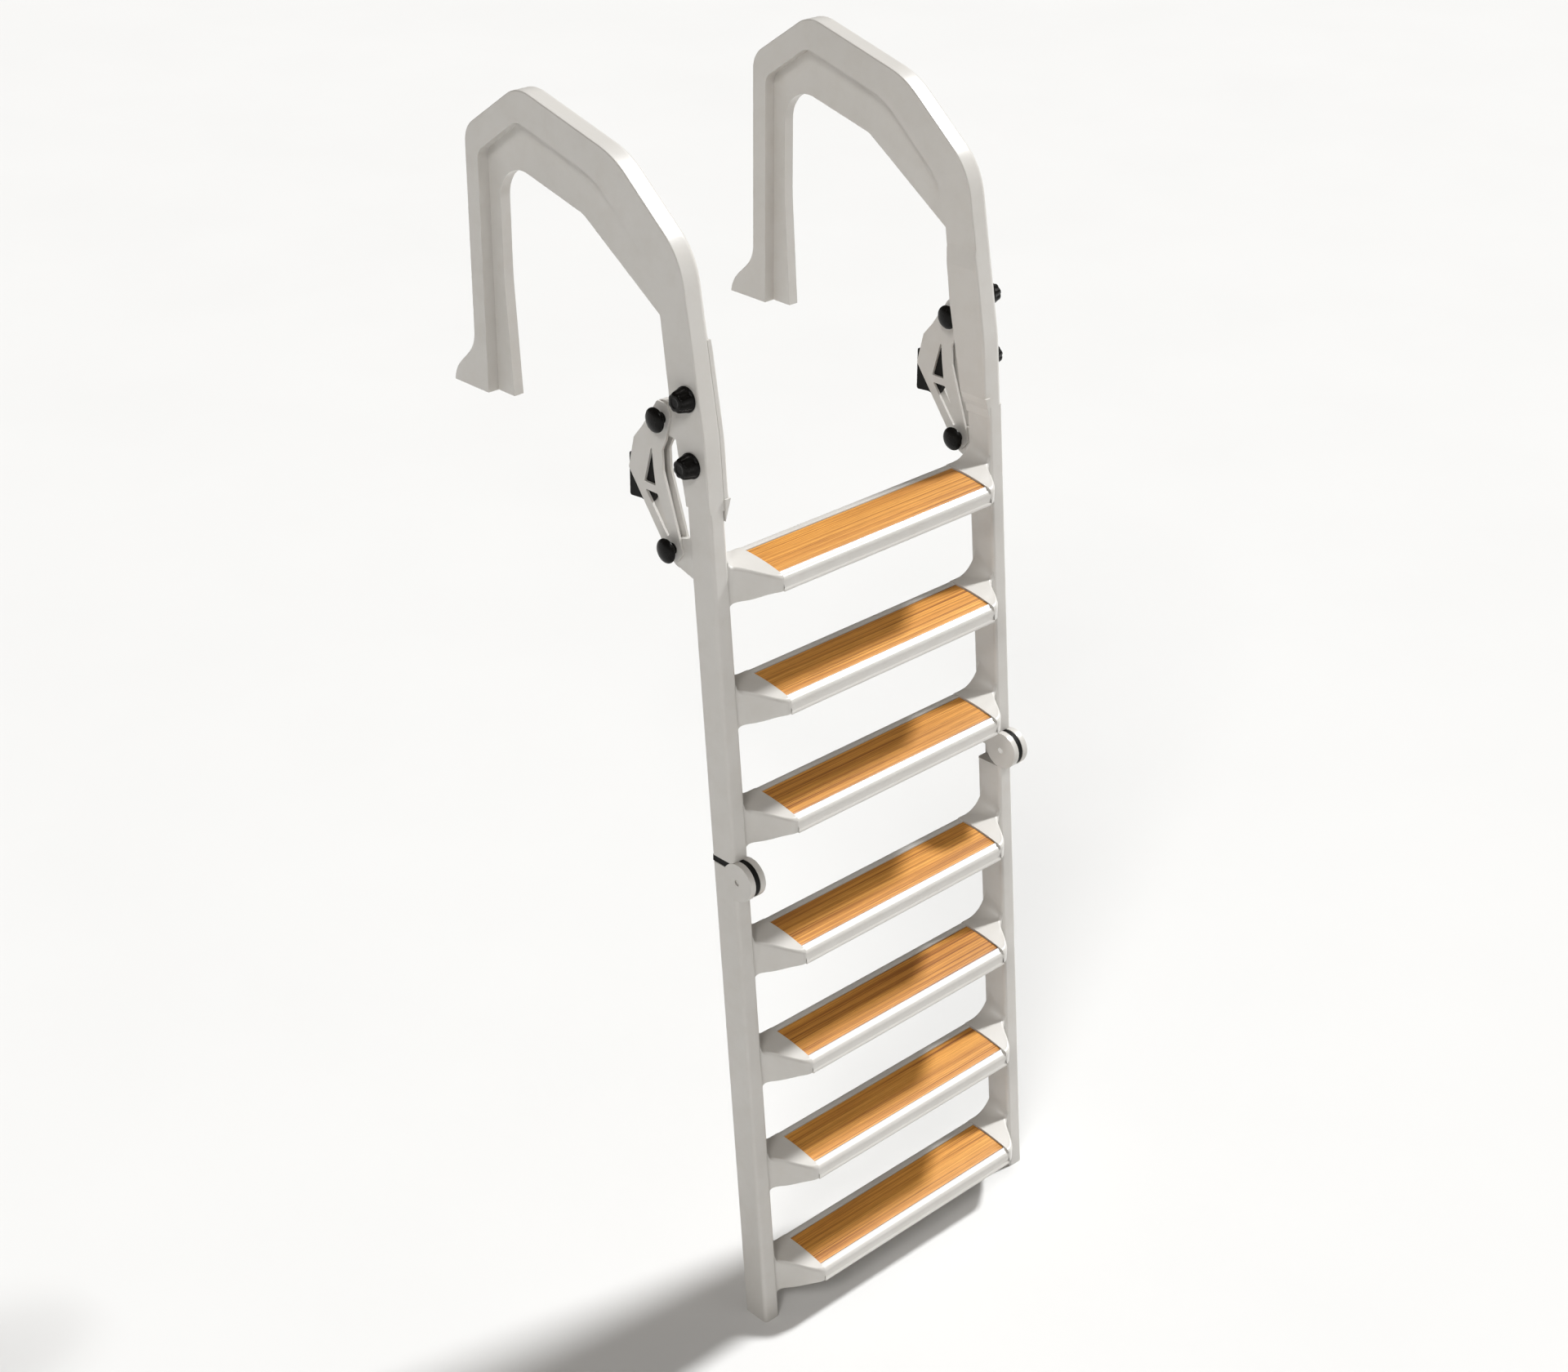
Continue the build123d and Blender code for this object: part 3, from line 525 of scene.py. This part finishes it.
def casting_mesh():
    """One step casting: the channel between two brackets that sweep out to the stringers."""
    joint = TREAD_HALF + GAP
    ends = [joint, joint + 0.3, joint + 1.2]
    blend = STRINGER_X - TOP_BLEND_REAR
    ends += [joint + 1.2 + (blend - joint - 1.2) * i / 8 for i in range(1, 9)]
    ends += [blend + TOP_BLEND_REAR * math.sin(math.radians(90 * i / 18)) for i in range(1, 19)]
    ends.append(STRINGER_X + 2.0)
    right = [(x, bracket_ring(x)) for x in ends]
    rings = [(-x, ring) for x, ring in reversed(right)]
    rings += [(x, CHANNEL) for x in (-joint, -160.0, 0.0, 160.0, joint)]
    rings += right
    bm = bmesh.new()
    loft(bm, [[Vector((x, y, z)) * MM for y, z in ring] for x, ring in rings])
    return bm


for number in range(1, STEPS + 1):
    body = "upper_section" if number <= UPPER_STEPS else "lower_section"
    place = Matrix.Translation(step_origin(number))
    casting = make_object(f"step_casting_look_{number}", casting_mesh(), [PAINT], 38.0)
    casting.data.transform(place)
    stand_for(casting, body, f"step_casting_{number}")
    # the insert's edge faces carry painted shade for the shadow in the gap round it
    insert = make_object(f"wood_insert_look_{number}", insert_mesh(), [TEAK, GAP_SHADE_PAINT], 30.0)
    insert.data.transform(place)
    stand_for(insert, body, f"wood_insert_{number}")


# ---------------------------------------------------------------- knobs and pull heads
def turned(bm, profile, segments, radius_at):
    """Solid of revolution along local z from (height, radius) pairs; radius_at shapes each ring."""
    rings = []
    for row, (height, radius) in enumerate(profile):
        ring = []
        for k in range(segments):
            angle = 2 * math.pi * k / segments
            r = radius_at(row, radius, angle)
            ring.append(Vector((r * math.cos(angle), r * math.sin(angle), height)) * MM)
        rings.append(ring)
    loft(bm, rings)


KNOB_PROFILE = (
    (0.0, 21.0, 0.0),
    (0.0, 22.6, 0.0),
    (0.5, 23.0, 0.0),
    (3.2, 23.0, 0.0),
    (3.8, 22.6, 0.0),
    (4.2, 21.9, 0.5),
    (5.5, 21.7, 1.6),
    (9.0, 21.3, 2.1),
    (15.0, 20.2, 2.4),
    (20.5, 19.0, 2.3),
    (23.4, 18.0, 1.9),
    (25.2, 16.6, 1.4),
    (26.2, 14.8, 0.9),
    (26.7, 12.6, 0.4),
    (26.9, 9.5, 0.0),
    (26.4, 8.9, 0.0),
    (26.3, 5.0, 0.0),
    (26.3, 1.0, 0.0),
)
HEAD_PROFILE = (
    (0.3, 5.2),
    (0.3, 9.6),
    (0.8, 10.3),
    (5.0, 10.3),
    (5.8, 9.7),
    (6.6, 8.2),
    (8.5, 7.6),
    (10.6, 8.4),
    (12.0, 11.5),
    (12.8, 17.5),
    (13.6, 20.8),
    (14.6, 22.1),
    (16.0, 22.5),
    (17.6, 22.2),
    (19.0, 21.1),
    (20.6, 18.4),
    (22.2, 14.2),
    (23.4, 9.4),
    (24.1, 4.5),
    (24.3, 0.8),
)
FLUTES = 8


def knob_mesh():
    """Fluted clamp knob along local +z, with a round skirt and a shallow dished face."""
    depths = [row[2] for row in KNOB_PROFILE]

    def radius_at(row, radius, angle):
        return radius - depths[row] * (0.5 + 0.5 * math.cos(FLUTES * angle)) ** 1.5

    bm = bmesh.new()
    turned(bm, [row[:2] for row in KNOB_PROFILE], 96, radius_at)
    return bm


def head_mesh():
    """Mushroom head of a pull pin along local +z, with a collar and a cove behind the disc."""
    bm = bmesh.new()
    turned(bm, HEAD_PROFILE, 72, lambda row, radius, angle: radius)
    return bm


def turn_to(direction, place):
    """Matrix that lays local +z along +X or -X at a place."""
    return Matrix.Translation(place) @ Matrix.Rotation(math.radians(90 * direction), 4, "Y")


for side, hand in SIDES.items():
    for level in LEVELS:
        name = f"clamp_knob_{side}_{level}"
        low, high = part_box(name)
        _, y, z = node_centre(name)
        base = low[0] if hand > 0 else high[0]
        knob = make_object(f"{name}_look", knob_mesh(), [PLASTIC], 40.0)
        knob.data.transform(turn_to(hand, (base, y, z)))
        stand_for(knob, name, name)

        name = f"pull_head_{side}_{level}"
        _, y, z = node_centre(name)
        plate_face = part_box(name)[1][0] + 0.3 * MM
        head = make_object(f"{name}_look", head_mesh(), [PLASTIC], 40.0)
        head.data.transform(turn_to(-1, (plate_face, y, z)))
        stand_for(head, f"pull_pin_{side}_{level}", name)


# ---------------------------------------------------------------- floor, light and camera
def flat(name, half, z):
    """Square sheet at height z, cut into a grid."""
    bm = bmesh.new()
    bmesh.ops.create_grid(bm, x_segments=4, y_segments=4, size=half)
    bmesh.ops.translate(bm, verts=bm.verts, vec=(0, 0, z))
    return make_object(name, bm, [floor_material()])


FLOOR_HALF = 40.0
LADDER_MIDDLE = Vector((0, -0.45, -0.6))
WARM_WHITE = (1.0, 0.985, 0.965)
floor = flat("studio_floor", FLOOR_HALF, cad_box[0][2])


def area_light(name, toward, distance, size, power, colour):
    """Square light that shines on the ladder's middle from a direction."""
    data = bpy.data.lights.new(name, "AREA")
    data.shape = "SQUARE"
    data.size = size
    data.energy = power
    data.color = colour
    lamp = bpy.data.objects.new(name, data)
    direction = Vector(toward).normalized()
    lamp.location = LADDER_MIDDLE + direction * distance
    lamp.rotation_euler = direction.to_track_quat("Z", "Y").to_euler()
    bpy.context.scene.collection.objects.link(lamp)


def sun_light(name, azimuth_deg, elevation_deg, strength, softness_deg, colour):
    """Distant light from +X swung towards -Y by an azimuth, at an elevation."""
    data = bpy.data.lights.new(name, "SUN")
    data.energy = strength
    data.angle = math.radians(softness_deg)
    data.color = colour
    lamp = bpy.data.objects.new(name, data)
    azimuth, elevation = math.radians(azimuth_deg), math.radians(elevation_deg)
    toward = Vector((
        math.cos(azimuth) * math.cos(elevation),
        -math.sin(azimuth) * math.cos(elevation),
        math.sin(elevation),
    ))
    lamp.rotation_euler = toward.to_track_quat("Z", "Y").to_euler()
    bpy.context.scene.collection.objects.link(lamp)


sun_light("key_light", 6.0, 43.0, 4.3, 7.0, (0.985, 0.995, 1.0))
area_light("front_fill", (0.2, -1.0, 0.35), 7.0, 4.0, 30.0, WARM_WHITE)
sun_light("upper_fill", 150.0, 43.0, 0.9, 16.0, WARM_WHITE)

world = bpy.data.worlds.new("studio_world")
world.use_nodes = True
background = world.node_tree.nodes["Background"]
background.inputs["Color"].default_value = (1.0, 0.94, 0.86, 1)
background.inputs["Strength"].default_value = 0.15
bpy.context.scene.world = world

bpy.context.scene.view_settings.view_transform = "Standard"

camera_data = bpy.data.cameras.new("photo_camera")
camera_data.sensor_width = 36.0
camera_data.lens = 63.41
camera_data.shift_x = 0.00833
camera_data.shift_y = -0.03125
camera_data.clip_end = 200.0
camera = bpy.data.objects.new("photo_camera", camera_data)
right = Vector((0.72231, -0.69156, 0.00212))
up = Vector((0.3115, 0.32808, 0.89181))
back = Vector((-0.61744, -0.64351, 0.4524))
turn = Matrix((right, up, back)).transposed()
camera.matrix_world = Matrix.Translation((-3.1990, -3.7365, 1.8543)) @ turn.to_4x4()
bpy.context.scene.collection.objects.link(camera)
bpy.context.scene.camera = camera
